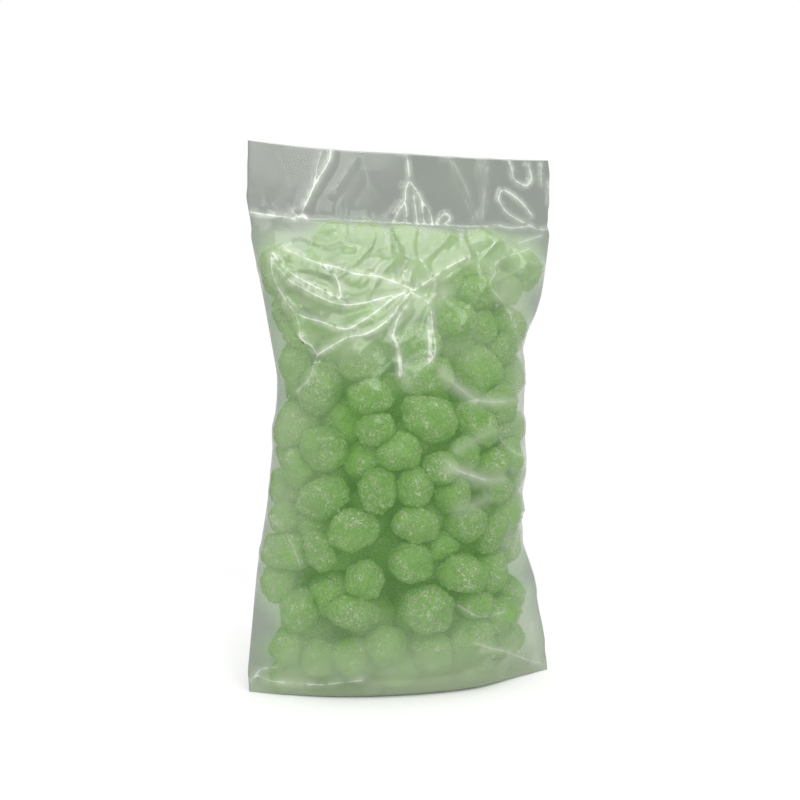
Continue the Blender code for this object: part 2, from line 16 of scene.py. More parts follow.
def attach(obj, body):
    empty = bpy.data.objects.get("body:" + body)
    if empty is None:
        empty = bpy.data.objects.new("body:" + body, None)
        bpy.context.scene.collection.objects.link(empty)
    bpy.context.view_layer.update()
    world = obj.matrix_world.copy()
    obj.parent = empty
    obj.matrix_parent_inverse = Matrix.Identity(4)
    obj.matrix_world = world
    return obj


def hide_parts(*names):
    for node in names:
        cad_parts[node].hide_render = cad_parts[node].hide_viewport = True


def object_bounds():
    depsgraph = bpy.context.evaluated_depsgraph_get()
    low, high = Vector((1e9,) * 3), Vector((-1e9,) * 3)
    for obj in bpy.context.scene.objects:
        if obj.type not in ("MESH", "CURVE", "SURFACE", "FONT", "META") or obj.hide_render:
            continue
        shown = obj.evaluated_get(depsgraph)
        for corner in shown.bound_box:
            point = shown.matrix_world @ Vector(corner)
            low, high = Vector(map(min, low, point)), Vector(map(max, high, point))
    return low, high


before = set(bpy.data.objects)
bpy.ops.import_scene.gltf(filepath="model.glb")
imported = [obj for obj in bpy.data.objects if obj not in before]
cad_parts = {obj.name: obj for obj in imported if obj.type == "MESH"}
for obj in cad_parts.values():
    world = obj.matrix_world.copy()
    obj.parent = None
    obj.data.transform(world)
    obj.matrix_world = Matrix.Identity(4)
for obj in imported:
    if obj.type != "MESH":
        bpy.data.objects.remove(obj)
cad_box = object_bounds()

MM = 0.001
# Farther out than any of the bag, and a guard against a division by zero
FAR = 0.3
TINY = 1e-12

# Camera: the photograph's viewpoint, at the bag's mid height and to its left
CAMERA_AWAY = 480 * MM
CAMERA_LEFT = math.radians(13)
CAMERA_UP = 154 * MM
CAMERA_ACROSS = -2.4 * MM
FOCAL_SHARE = 873 / 800
SENSOR = 36.0

# Lamps: name, place, the point that each looks at, width and depth in metres, and power in watts
LAMPS = (
    ("top", (0, -0.1, 1.05), (0, 0, 0.2), (0.7, 0.6), 4.0),
    ("key", (-0.15, -0.9, 0.8), (0, 0, 0.15), (0.8, 0.6), 6.2),
    ("spark", (0.1, -0.35, 0.9), (0, 0, 0.2), (0.3, 0.03), 0.5),
)
WORLD_FILL = 0.78
FLOOR_REACH = 6.0
FLOOR_DROP = 0.2 * MM
FLOOR_FADE = (0.12, 0.45)
FLOOR_GREY = (0.85, 0.85, 0.85, 1)

# Colours, of which a pair is the darker and the lighter side of a cloudy noise
BLACK = (0, 0, 0, 1)
WHITE = (1, 1, 1, 1)
CLEAR_FILM = ((0.006, 0.04, 0.002, 1), (0.03, 0.07, 0.015, 1))
# Painted green light that the peanuts throw back onto the film
GREEN_BOUNCE_FILM = ((0.08, 0.24, 0.03, 1), (0.12, 0.29, 0.05, 1))
# Milky film, and the colour of the front's bands of painted highlight
MILKY_AND_HIGHLIGHT_FILM = (0.39, 0.46, 0.32, 1)
FRONT_STARCH = ((0.25, 0.45, 0.10, 1), (0.34, 0.55, 0.17, 1))
# The inner peanuts' copy of the starch is greener and brighter: painted glow of light through the fill
# between the peanuts
INNER_GLOW_STARCH = ((0.28, 0.57, 0.09, 1), (0.37, 0.65, 0.15, 1))
# Pale flecks on the crinkles: painted glints
GLINT_FLECK = (1.0, 1.0, 0.78, 1)
# Values of the noise where a pair's darker and lighter colours are full
FILM_CLOUD = (0.35, 0.7)
STARCH_CLOUD = (0.32, 0.68)
# Flecks, painted glints on the crinkles, lie where a fine noise is near its middle value, in thin winding
# bands
FLECK_BANDS = ((0.43, BLACK), (0.47, WHITE), (0.52, WHITE), (0.56, BLACK))
FLECK_BUMP = 0.9 * MM
CRUMPLE_BUMP = 1.6 * MM
# The film's opacity where it is clear and where it is milky
FILM_OPACITY = (0.48, 0.74)
# A crease's soft flank and its bright crest, mostly painted highlight and partly the film's whitening: the
# nearness where each starts and is full, and colour
CREASE_LINES = (
    (0.25, 1.25, (0.60, 0.68, 0.55, 1)),
    (0.91, 0.99, (0.95, 1.0, 0.88, 1)),
)

# The bag's own sizes, as the solids have them
SEAL_UP = 252 * MM
SEAL_BAND = 3 * MM
BASE_ROUNDING = 7 * MM
BASE_EDGE = 6 * MM
BASE_SHARE = 0.8
BAG_TOP = cad_box[1].z

# Film mesh
FILM_SEED = 9
FILM_COLUMNS = 144
PILLOW_ROWS = 200
HEADER_ROWS = 32
BASE_ROWS = 12
ROUND_ROWS = 6
SPLIT_CREST = 0.5
FILM_CLEARANCE = 0.35 * MM
FILM_LIFT = 0.1 * MM
# Rays that look for the solids' surface stay a little inside its edges
RAY_FOLD_MARGIN = 0.4 * MM
RAY_TOP_MARGIN = 0.3 * MM
RAY_BASE_MARGIN = 0.8 * MM
RAY_FOLD_OFFSET = 0.05 * MM
# The side folds keep outside the peanuts beside them
FOLD_REACH = 3 * MM
FOLD_ROOM = 0.6 * MM
FOLD_ROUNDS = 4

# The film's drape, and the slack upper part that stands off the peanuts
DRAPE_STEPS = 160
LOOSE_AFTER = DRAPE_STEPS // 3
TAUT_SMOOTH = 12
LOOSE_FROM = 165 * MM
LOOSE_OVER = 22 * MM
LOOSE_CELLS = 14
LOOSE_SMOOTH = 70
LOOSE_STAND = 1.0 * MM
SEAL_LEVEL = 1.2 * MM
SEAL_SLOPE = 1.5

# The film's small wrinkles, more of them in its slack part, and the gathers at the seal
COARSE_WAVE = 26 * MM
COARSE_STRETCH = 1.2
COARSE_POWER = 3
COARSE_HEIGHT = 1.1 * MM
SMALL_WAVE = 9 * MM
SMALL_STRETCH = 1.6
SMALL_POWER = 2
SMALL_HEIGHT = 0.3 * MM
SMALL_LEAST = 0.35
SLACK_FROM = 140 * MM
SLACK_OVER = 80 * MM
GATHER_WAVE = 5 * MM
GATHER_STRETCH = 6
GATHER_HEIGHT = 0.5 * MM
GATHER_REACH = 7 * MM
OFF_FOLD = 5 * MM
OFF_EDGE = 6 * MM
BELOW_SEAL = 8 * MM
ABOVE_SEAL = 4 * MM

# The header: its mouth sags in the middle, and it sways in waves: height in mm, length and turn
HEADER_SAG = 2.2 * MM
SAG_POWER = 3
HEADER_WAVES = ((0.9, 23 * MM, 0.8), (0.3, 11 * MM, 2.0))

# Milkiness of the film: high up, beside its folds and near the base, and more off the fill
UPPER_HAZE = 155 * MM
LOWER_HAZE = 55 * MM
HAZE_FADE = 55 * MM
SIDE_HAZE = 0.85
SIDE_REACH = 33 * MM
SIDE_FADE = 27.5 * MM
BASE_HAZE = 0.85
BASE_POWER = 3
HAZE_GAP = 14 * MM
HAZE_LEAST = 0.45
HAZE_FROM_GAP = 0.5
GAP_SMOOTH = 25
COVER_SMOOTH = 10
CLEARING = 0.6

# Painted green light, thrown back onto the film by the peanuts, most where fill lies behind it
BOUNCE_FADE = 6 * MM
BOUNCE_LEAST = 0.2
BOUNCE_CELLS = 4
BOUNCE_SMOOTH = 8

# Peanut skin
SKIN_SEED = 5
MERGE_WITHIN = 0.02 * MM
FRONT_LEVEL = 3
GROUP_LEVEL = 2
FRONT_SWELL = 0.6 * MM
GROUP_SWELL = 1.0 * MM
WAVE_COUNT = 28
LUMP_WAVE = 11 * MM
LUMP_HEIGHT = 0.45 * MM
KNOB_WAVE = 4.6 * MM
KNOB_HEIGHT = 0.40 * MM
KNOB_MIDDLE = 0.8
CRINKLE_WAVE = 2.1 * MM
CRINKLE_HEIGHT = 0.32 * MM
CRINKLE_MIDDLE = 0.5
CRINKLE_LEAST = 0.35
PATCH_OFFSET = 0.6
SKIN_LOWEST = 0.6 * MM

# Lines through the fill along which the inner peanuts are pressed together: across at the middle
# of the depth, up, and how far it goes across for each step back
TIGHT_SPOTS = (
    (41.5 * MM, 155.7 * MM, 0.33),
    (43.5 * MM, 105 * MM, 0.33),
    (-50 * MM, 220 * MM, 0.13),
    (-10 * MM, 194.5 * MM, 0.21),
)
TIGHT_REACH = 10 * MM
TIGHT_SWELL = 4.2 * MM

# Creases: relief and half width in mm, whiteness of the crest (mostly painted highlight, partly the film's
# whitening), and (across, up) points in mm
FRONT_CREASES = (
    (1.7, 10, 1.0, ((-66, 232), (-50, 225), (-42, 223), (-31, 219), (-20, 218), (-10, 215), (-1, 211))),
    (1.1, 6, 0.8, ((-50, 225), (-43, 220), (-40, 214), (-39, 207))),
    (1.2, 6, 0.9, ((-73, 230), (-67, 222), (-58, 216), (-49, 211), (-40, 206))),
    (1.8, 9, 1.0, ((-74, 228), (-71, 223), (-65, 216), (-57, 211), (-48, 206), (-40, 203), (-31, 203),
                   (-23, 205), (-13, 208))),
    (1.3, 6, 0.8, ((-74, 227), (-73, 219), (-70, 212), (-64, 202))),
    (2.0, 11, 1.0, ((-64, 202), (-58, 197), (-49, 194), (-38, 190), (-31, 193), (-22, 199), (-13, 206),
                    (-6, 210))),
    (1.4, 7, 0.7, ((-64, 202), (-60, 194), (-59, 186), (-54, 182), (-51, 177))),
    (1.8, 9, 1.0, ((-51, 177), (-45, 181), (-36, 186), (-29, 187), (-21, 191), (-14, 197), (-7, 206),
                   (-4, 209))),
    (1.0, 6, 0.4, ((-51, 177), (-53, 171), (-55, 165), (-61, 158))),
    (1.2, 6, 0.6, ((-4, 205), (-11, 195), (-14, 185))),
    (1.4, 8, 0.5, ((-1, 211), (8, 217), (18, 224), (29, 230))),
    (1.6, 8, 0.8, ((-3, 210), (6, 204), (7, 191), (7, 177), (-2, 168))),
    (1.0, 7, 0.3, ((69, 238), (49, 230), (46, 222), (42, 215), (54, 202), (61, 187))),
    (-1.2, 5, 0.0, ((-72, 210), (-67, 198), (-60, 186), (-53, 181))),
    (0.8, 6, 0.2, ((17, 163), (29, 155), (38, 153), (50, 153))),
    (0.9, 5, 0.4, ((18, 118), (27, 115), (36, 112))),
    (0.8, 5, 0.3, ((65, 242), (73, 245), (81, 248))),
    (1.5, 9, 0.35, ((84, 2), (66, 10), (49, 19), (30, 27))),
    (0.8, 4, 0.5, ((-84, 5), (-81, 9), (-78, 13), (-70, 15))),
    (0.9, 4, 0.6, ((-81, 9), (-72, 7), (-60, 6), (-52, 7), (-43, 8), (-37, 9), (-29, 10))),
    (-0.8, 3, 0.0, ((-22, 10), (0, 9), (20, 10), (40, 13), (58, 15))),
    (0.7, 4, 0.3, ((70, 100), (62, 88), (58, 70))),
    (0.7, 4, 0.25, ((-74, 92), (-66, 84), (-60, 70))),
    (0.8, 5, 0.3, ((40, 140), (52, 128), (66, 122))),
    (0.7, 5, 0.3, ((20, 48), (34, 40), (50, 40))),
    (0.6, 5, 0.7, ((-14, 187), (-12, 180), (-11, 173), (-11, 166))),
    (0.5, 4, 0.6, ((-12.8, 187), (-10.7, 180), (-9.7, 173), (-9.6, 166))),
    (0.5, 4, 0.6, ((4.6, 190), (4.4, 182), (3.6, 174))),
    (0.5, 4, 0.5, ((5.8, 190), (5.6, 182), (4.8, 174))),
)
BACK_CREASES = (
    (1.6, 9, 0.9, ((72, 226), (58, 220), (44, 208), (30, 204), (14, 208), (2, 214))),
    (1.3, 7, 0.8, ((70, 222), (60, 206), (50, 192), (46, 176))),
    (1.5, 8, 0.8, ((46, 176), (30, 186), (16, 198), (2, 214))),
    (1.2, 7, 0.6, ((2, 214), (-12, 222), (-24, 232))),
    (1.3, 7, 0.6, ((2, 214), (-6, 196), (-8, 180))),
    (1.1, 6, 0.4, ((-70, 234), (-54, 224), (-44, 208), (-56, 190))),
    (1.0, 6, 0.3, ((-20, 118), (-34, 108), (-46, 106))),
    (1.4, 8, 0.35, ((84, 3), (66, 11), (48, 20), (30, 26))),
    (1.2, 8, 0.35, ((-84, 4), (-68, 12), (-52, 18))),
    (1.1, 4, 0.4, ((40, 253), (38, 262), (30, 276), (27, 289))),
    (0.9, 4, 0.3, ((40, 255), (46, 268), (44, 288))),
    (1.0, 4, 0.35, ((-24, 289), (-20, 274), (-26, 262), (-22, 252))),
    (0.8, 3, 0.3, ((-20, 274), (-12, 262), (-10, 252))),
    (0.9, 4, 0.25, ((-70, 288), (-64, 272), (-72, 258))),
    (0.0, 1, 0.4, ((-86, 253), (-40, 251), (0, 250.5), (50, 251.5), (86, 253))),
)
HEADER_CREASES = (
    (1.3, 5, 1.0, ((-57, 253), (-54, 261), (-48, 273), (-42, 284), (-41, 290))),
    (0.9, 4, 0.6, ((-56, 255), (-51, 267), (-48, 282), (-46, 289))),
    (0.6, 4, 0.2, ((-40, 266), (-34, 276), (-28, 286))),
    (1.2, 5, 0.9, ((1, 289), (2, 276), (0, 270), (0, 264), (-4, 257), (-7, 251))),
    (1.0, 4, 0.9, ((2, 276), (7, 269), (9, 265), (11, 252))),
    (0.8, 3, 0.9, ((0, 264), (1, 257), (1, 251))),
    (0.8, 3, 0.8, ((9, 265), (14, 258), (16, 251))),
    (0.7, 3, 0.7, ((5, 267), (6, 259), (7, 251))),
    (0.7, 3, 0.8, ((18, 252), (20, 255), (24, 258), (26, 255), (23, 252))),
    (1.1, 8, 0.2, ((27, 288), (33, 277), (39, 263), (44, 252))),
    (1.1, 8, 0.2, ((48, 289), (46, 272), (44, 252))),
    (1.2, 4, 0.9, ((60, 290), (62, 285), (63, 280), (67, 277), (71, 276), (74, 280), (72, 288))),
    (1.0, 4, 0.9, ((54, 267), (56, 273), (63, 270), (69, 265), (74, 259))),
    (0.9, 4, 0.6, ((54, 267), (59, 260), (66, 256), (74, 253))),
    (0.8, 3, 0.6, ((80, 289), (80, 283), (80, 277))),
    (0.8, 3, 0.5, ((84, 279), (85, 272), (85, 266))),
    (0.6, 2, 0.9, ((-61, 255), (-58, 251), (-56, 254), (-54, 251), (-58, 253))),
)
# Lines along the seal with no relief, only a painted highlight on its puckers
SEAL_LINES = (
    (0.0, 1, 1.0, ((-86, 253.5), (-78, 252.5), (-68, 251.5), (-60, 250.5))),
    (0.0, 1, 0.2, ((-52, 250.5), (-33, 250.5), (-11, 250.5), (5, 250.5), (30, 250.5), (41, 250.5))),
    (0.0, 1, 0.5, ((46, 251), (53, 252.5), (62, 251), (72, 252.5), (80, 251), (86, 253))),
)
# Milky bands on the front film that are also painted highlights where it is pulled tight: half width in
# mm, milkiness, points
MILKY_HIGHLIGHT_BANDS = (
    (7, 0.8, ((12, 168), (17, 163), (29, 155), (38, 153), (50, 153), (57, 154))),
    (8, 0.8, ((15, 119), (27, 115), (36, 112), (48, 112))),
    (7, 0.6, ((20, 97), (28, 99), (38, 102))),
    (6, 0.6, ((19, 128), (28, 132), (38, 137))),
    (7, 0.8, ((34, 22), (43, 21), (54, 16))),
    (8, 0.6, ((-13, 187), (-10, 176), (-7, 163))),
    (24, 0.6, ((-58, 190), (-40, 180), (-20, 188))),
    (18, 0.8, ((72, 26), (76, 8))),
    (9, 0.4, ((-74, 241), (74, 241))),
)
# Places where the upper front film lies on a peanut: across, up and reach in mm
CLEAR_SPOTS = ((32, 212, 16), (21, 196, 14), (44, 196, 14))
LINE_STEP = 2 * MM
CREST_REACH = 5 * MM
SNAP_REACH = 0.6 * MM


def resample(points, step):
    """Points along a smooth curve through a list of points, about a step apart."""
    points = np.array(points, float)
    ends = np.concatenate((2 * points[:1] - points[1:2], points, 2 * points[-1:] - points[-2:-1]))
    found = [points[0]]
    for index in range(len(points) - 1):
        before, start, end, after = ends[index:index + 4]
        count = max(1, int(np.linalg.norm(end - start) / step))
        for number in range(1, count + 1):
            t = number / count
            found.append(0.5 * (2 * start + (end - before) * t
                                + (2 * before - 5 * start + 4 * end - after) * t ** 2
                                + (3 * start - before - 3 * end + after) * t ** 3))
    return np.array(found)


def line_in_metres(points):
    """The smooth line through a table's (across, up) points in mm."""
    return resample([(x * MM, z * MM) for x, z in points], LINE_STEP)


def nearest_on_line(across, up, line):
    """Each grid point's distance from a line of points, and the place on the line nearest to it."""
    nearest = np.full(across.shape, FAR)
    found_x = across.copy()
    found_z = up.copy()
    for (x0, z0), (x1, z1) in zip(line, line[1:]):
        along_x, along_z = x1 - x0, z1 - z0
        squared = along_x ** 2 + along_z ** 2 + TINY
        share = np.clip(((across - x0) * along_x + (up - z0) * along_z) / squared, 0, 1)
        place_x = x0 + share * along_x
        place_z = z0 + share * along_z
        away = np.hypot(across - place_x, up - place_z)
        closer = away < nearest
        nearest = np.where(closer, away, nearest)
        found_x = np.where(closer, place_x, found_x)
        found_z = np.where(closer, place_z, found_z)
    return nearest, found_x, found_z


def wave_field(points, wavelength, generator):
    """A smooth random field: a sum of plane waves of one length in all directions."""
    directions = generator.normal(size=(WAVE_COUNT, points.shape[1]))
    directions /= np.linalg.norm(directions, axis=1)[:, None]
    phases = generator.uniform(0, 2 * math.pi, WAVE_COUNT)
    waves = np.cos(points @ directions.T * (2 * math.pi / wavelength) + phases)
    return waves.sum(axis=1) * math.sqrt(2 / WAVE_COUNT)


def faded(distance, reach):
    """0 where there is no distance, and 1 from a reach on."""
    return np.clip(distance / reach, 0, 1)


def nearness(away, reach):
    """1 on the spot, and 0 from a reach away on."""
    return np.clip(1 - away / reach, 0, 1)


def mesh_arrays(mesh):
    """A mesh's vertices and its triangles, as arrays."""
    mesh.calc_loop_triangles()
    points = np.zeros(len(mesh.vertices) * 3, np.float32)
    mesh.vertices.foreach_get("co", points)
    corners = np.zeros(len(mesh.loop_triangles) * 3, np.int32)
    mesh.loop_triangles.foreach_get("vertices", corners)
    return points.reshape(-1, 3).astype(float), corners.reshape(-1, 3)


def skin_height(points, level, swell, generator):
    """How far a peanut's skin stands out from its smooth form, at each point."""
    lumps = wave_field(points, LUMP_WAVE, generator)
    knobs = np.abs(wave_field(points, KNOB_WAVE, generator))
    crinkle = 1 - np.minimum(np.abs(wave_field(points, CRINKLE_WAVE, generator)), 1)
    patch = np.clip(wave_field(points, LUMP_WAVE, generator) + PATCH_OFFSET, 0, 1)
    strength = CRINKLE_LEAST + (1 - CRINKLE_LEAST) * patch
    height = swell + LUMP_HEIGHT * lumps + KNOB_HEIGHT * (knobs - KNOB_MIDDLE)
    height = height + CRINKLE_HEIGHT * (crinkle - CRINKLE_MIDDLE) * strength
    if level == GROUP_LEVEL:
        for across, up, lean in TIGHT_SPOTS:
            away = np.hypot(points[:, 0] - across - lean * points[:, 1], points[:, 2] - up)
            height = height + TIGHT_SWELL * nearness(away, TIGHT_REACH)
    return height


def dressed_peanut(node, name, level, swell, generator):
    """A peanut's solid with a rounded, lumpy and crinkled skin."""
    source = bmesh.new()
    source.from_mesh(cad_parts[node].data)
    bmesh.ops.remove_doubles(source, verts=source.verts, dist=MERGE_WITHIN)
    mesh = bpy.data.meshes.new(name)
    source.to_mesh(mesh)
    source.free()
    piece = bpy.data.objects.new(name, mesh)
    bpy.context.scene.collection.objects.link(piece)
    rounding = piece.modifiers.new("rounding", "SUBSURF")
    rounding.levels = level
    rounding.render_levels = level
    bpy.context.view_layer.update()
    shape = bpy.data.meshes.new_from_object(piece.evaluated_get(bpy.context.evaluated_depsgraph_get()))
    piece.modifiers.clear()
    piece.data = shape
    bpy.data.meshes.remove(mesh)
    shape.name = name
    points, _ = mesh_arrays(shape)
    normals = np.zeros(len(points) * 3, np.float32)
    shape.vertices.foreach_get("normal", normals)
    height = skin_height(points, level, swell, generator)
    points = points + normals.reshape(-1, 3) * height[:, None]
    points[:, 2] = np.maximum(points[:, 2], SKIN_LOWEST)
    shape.vertices.foreach_set("co", points.astype(np.float32).ravel())
    shape.shade_smooth()
    shape.update()
    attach(piece, "root")
    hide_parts(node)
    return piece


def fold_places(cad_tree, fold_depth, up):
    """Where the film's left and right folds lie at a height."""
    places = []
    for side in (-1, 1):
        start = Vector((side * FAR, fold_depth - RAY_FOLD_OFFSET, up))
        hit = cad_tree.ray_cast(start, Vector((-side, 0, 0)), 2 * FAR)[0]
        places.append(hit.x if hit is not None else side * cad_box[1].x)
    return places


def from_folds(across, folds):
    """Distance from the nearer side fold."""
    return np.minimum(folds[:, 1:] - across, across - folds[:, :1])


def ray_depths(tree, across, up, side, missing):
    """How far a tree's surface stands out towards one side, at each grid point."""
    depth = np.full(across.shape, missing)
    for row, column in np.ndindex(across.shape):
        start = Vector((across[row, column], side * FAR, up[row, column]))
        hit = tree.ray_cast(start, Vector((0, -side, 0)), FAR)[0]
        if hit is not None:
            depth[row, column] = side * hit.y
    return depth


def smoothed(grid, steps):
    """A grid averaged with its neighbours, its border kept."""
    grid = grid.copy()
    for _ in range(steps):
        inner = (grid[:-2, 1:-1] + grid[2:, 1:-1] + grid[1:-1, :-2] + grid[1:-1, 2:]) / 4
        grid[1:-1, 1:-1] = inner
    return grid


def widened(grid, steps):
    """A grid whose high places have spread out, a cell each step."""
    grid = grid.copy()
    for _ in range(steps):
        grid[1:-1, 1:-1] = np.max((grid[1:-1, 1:-1], grid[:-2, 1:-1], grid[2:, 1:-1],
                                   grid[1:-1, :-2], grid[1:-1, 2:]), axis=0)
    return grid


def crease_fields(across, up, creases):
    """The grid with its points drawn onto the creases, their relief, nearness and whiteness."""
    relief = np.zeros(across.shape)
    crest = np.zeros(across.shape)
    white = np.zeros(across.shape)
    new_across = across.copy()
    new_up = up.copy()
    for height, width, whiteness, points in creases:
        away, on_x, on_z = nearest_on_line(across, up, line_in_metres(points))
        snapped = away < SNAP_REACH
        new_across = np.where(snapped, on_x, new_across)
        new_up = np.where(snapped, on_z, new_up)
        away = np.where(snapped, 0.0, away)
        rise = height * MM * nearness(away, width * MM)
        relief = np.where(np.abs(rise) > np.abs(relief), rise, relief)
        near = nearness(away, CREST_REACH)
        white = np.where(near > crest, whiteness, white)
        crest = np.maximum(crest, near)
    return new_across, new_up, relief, crest, white


def ridged(across, up, wavelength, stretch, generator):
    """Sharp small wrinkles: a field with ridges, drawn out along the height by a factor."""
    points = np.stack((across.ravel(), up.ravel() / stretch), axis=1)
    field = wave_field(points, wavelength, generator).reshape(across.shape)
    return np.clip(1 - np.abs(field), 0, 1)


def film_rows():
    """Heights of the film's rows above the base."""
    turn = np.linspace(0, math.pi / 2, ROUND_ROWS + 1)
    rounding = BASE_ROUNDING * (1 - np.cos(turn))
    pillow = np.linspace(BASE_ROUNDING, SEAL_UP + SEAL_BAND / 2, PILLOW_ROWS + 1)[1:]
    header = np.linspace(SEAL_UP + SEAL_BAND / 2, BAG_TOP, HEADER_ROWS + 1)[1:]
    return np.concatenate((rounding, pillow, header))


def creased_grid(side, folds, heights):
    """One ply's grid, across and up, drawn onto its creases, with their relief and their marks."""
    shares = np.linspace(0, 1, FILM_COLUMNS + 1)
    across = folds[:, :1] * (1 - shares) + folds[:, 1:] * shares
    up = np.repeat(heights[:, None], FILM_COLUMNS + 1, axis=1)
    creases = HEADER_CREASES + SEAL_LINES + FRONT_CREASES if side < 0 else BACK_CREASES
    new_across, new_up, relief, crest, white = crease_fields(across, up, creases)
    inner_part = np.zeros(across.shape, bool)
    inner_part[ROUND_ROWS + 1:-1, 1:-1] = True
    across = np.where(inner_part, new_across, across)
    up = np.where(inner_part, new_up, up)
    return across, up, relief, crest, white


def draped(side, cad_tree, fill_tree, level, folds, in_header, across, up):
    """How far a ply stands out where it is draped over the peanuts, and how far they do."""
    inner = np.clip(across, folds[:, :1] + RAY_FOLD_MARGIN, folds[:, 1:] - RAY_FOLD_MARGIN)
    at = np.clip(up, BASE_ROUNDING, BAG_TOP - RAY_TOP_MARGIN)
    taut = smoothed(ray_depths(cad_tree, inner, at, side, level), TAUT_SMOOTH)
    taut = np.minimum(taut, SEAL_LEVEL + np.maximum(SEAL_UP - up, 0) * SEAL_SLOPE)
    fill = ray_depths(fill_tree, inner, at, side, -FAR)
    solid = widened(fill, 1) + FILM_CLEARANCE
    solid[:, 0] = -FAR
    solid[:, -1] = -FAR
    depth = np.maximum(taut, solid)
    loose = faded(up - LOOSE_FROM, LOOSE_OVER) * faded(SEAL_UP - up, LOOSE_OVER)
    loose = loose * faded(from_folds(across, folds), LOOSE_OVER)
    for step in range(DRAPE_STEPS):
        if step == LOOSE_AFTER:
            closed = -widened(-widened(depth, LOOSE_CELLS), LOOSE_CELLS)
            raised = smoothed(closed, LOOSE_SMOOTH) + LOOSE_STAND
            solid = np.maximum(solid, depth + (raised - depth) * loose)
        mean = smoothed(depth, 1)
        mean[0] = mean[1]
        depth = np.where(in_header, taut, np.maximum(mean, solid))
        depth[:, 0] = level
        depth[:, -1] = level
    return depth, fill


def wrinkled(depth, relief, level, folds, in_header, across, up, generator):
    """The depth of a draped ply with its creases, its small wrinkles and its gathers at the seal."""
    off_fold = faded(depth - level, OFF_FOLD)
    below_seal = faded(SEAL_UP - up, BELOW_SEAL)
    above_seal = faded(up - SEAL_UP, ABOVE_SEAL)
    depth = depth + relief * np.where(in_header, above_seal, off_fold * below_seal)
    slack = faded(up - SLACK_FROM, SLACK_OVER)
    coarse = ridged(across, up, COARSE_WAVE, COARSE_STRETCH, generator) ** COARSE_POWER
    small = ridged(across, up, SMALL_WAVE, SMALL_STRETCH, generator) ** SMALL_POWER
    wrinkles = coarse * COARSE_HEIGHT * slack
    wrinkles = wrinkles + small * SMALL_HEIGHT * (SMALL_LEAST + (1 - SMALL_LEAST) * slack)
    depth = depth + wrinkles * off_fold * below_seal
    gather = ridged(across, up, GATHER_WAVE, GATHER_STRETCH, generator)
    gather = gather * np.exp(-np.abs(up - SEAL_UP) / GATHER_REACH)
    gather = gather * np.where(in_header, above_seal, below_seal)
    return depth + gather * GATHER_HEIGHT * faded(from_folds(across, folds), OFF_EDGE)


def rounded_base(depth, up):
    """The depth with the turn from the walls into the seam across the base."""
    wall = depth[ROUND_ROWS]
    edge = np.maximum(wall - BASE_EDGE, wall * BASE_SHARE)
    bend = np.sqrt(np.clip(1 - (1 - up / BASE_ROUNDING) ** 2, 0, 1))
    return np.where(up < BASE_ROUNDING, edge + (wall - edge) * bend, depth)


def film_haze_and_sheen(side, across, depth, up, fill, filled, folds):
    """How milky a ply is, from 0 where it is clear to 1, and pale along the front's bands of painted
    highlight.
    """
    covered = smoothed(filled, COVER_SMOOTH)
    gap = smoothed(faded(depth - fill, HAZE_GAP), GAP_SMOOTH)
    upper = faded(up - UPPER_HAZE, HAZE_FADE)
    lower = faded(LOWER_HAZE - up, HAZE_FADE)
    beside = SIDE_HAZE * faded(SIDE_REACH - from_folds(across, folds), SIDE_FADE)
    haze_and_sheen = covered * np.maximum(upper, beside) * (HAZE_LEAST + HAZE_FROM_GAP * gap)
    haze_and_sheen = np.maximum(haze_and_sheen, np.maximum(covered, lower ** BASE_POWER) * lower * BASE_HAZE)
    if side < 0:
        for x, z, reach in CLEAR_SPOTS:
            away = np.hypot(across - x * MM, up - z * MM)
            haze_and_sheen = haze_and_sheen * (1 - CLEARING * faded(reach * MM - away, reach * MM / 2))
        for width, milk_and_highlight, points in MILKY_HIGHLIGHT_BANDS:
            away = nearest_on_line(across, up, line_in_metres(points))[0]
            haze_and_sheen = np.maximum(haze_and_sheen, milk_and_highlight * nearness(away, width * MM))
    return haze_and_sheen


def film_green_bounce(up, filled):
    """How much painted green light from the peanuts tints a ply: most where fill lies behind it, and none
    above the seal.
    """
    beside_fill = smoothed(widened(filled, BOUNCE_CELLS), BOUNCE_SMOOTH)
    return faded(SEAL_UP - up, BOUNCE_FADE) * (BOUNCE_LEAST + (1 - BOUNCE_LEAST) * beside_fill)


def film_sheet(side, cad_tree, fill_tree, fold_depth, folds, heights, generator):
    """One ply as grids: across, depth, up, crease nearness and whiteness (painted highlight, partly the
    film's whitening), milkiness with bands of painted highlight, and painted green bounce light.
    """
    level = side * fold_depth
    in_header = (heights > SEAL_UP - SEAL_BAND / 2)[:, None]
    across, up, relief, crest, white = creased_grid(side, folds, heights)
    depth, fill = draped(side, cad_tree, fill_tree, level, folds, in_header, across, up)
    depth = wrinkled(depth, relief, level, folds, in_header, across, up, generator)
    depth = rounded_base(depth, up)
    filled = (fill > -FAR / 2).astype(float)
    haze_and_sheen = film_haze_and_sheen(side, across, depth, up, fill, filled, folds)
    return across, depth, up, crest, white, haze_and_sheen, film_green_bounce(up, filled)


def header_share(up):
    """How far up the header a height is: 0 up to the seal, and 1 at the mouth."""
    return np.clip((up - SEAL_UP) / (BAG_TOP - SEAL_UP), 0, 1)


def header_wave(across, up):
    """How far the flat header sways to the front, both plies together."""
    waves = sum(height * np.sin(across / length + turn) for height, length, turn in HEADER_WAVES)
    return header_share(up) * waves * MM


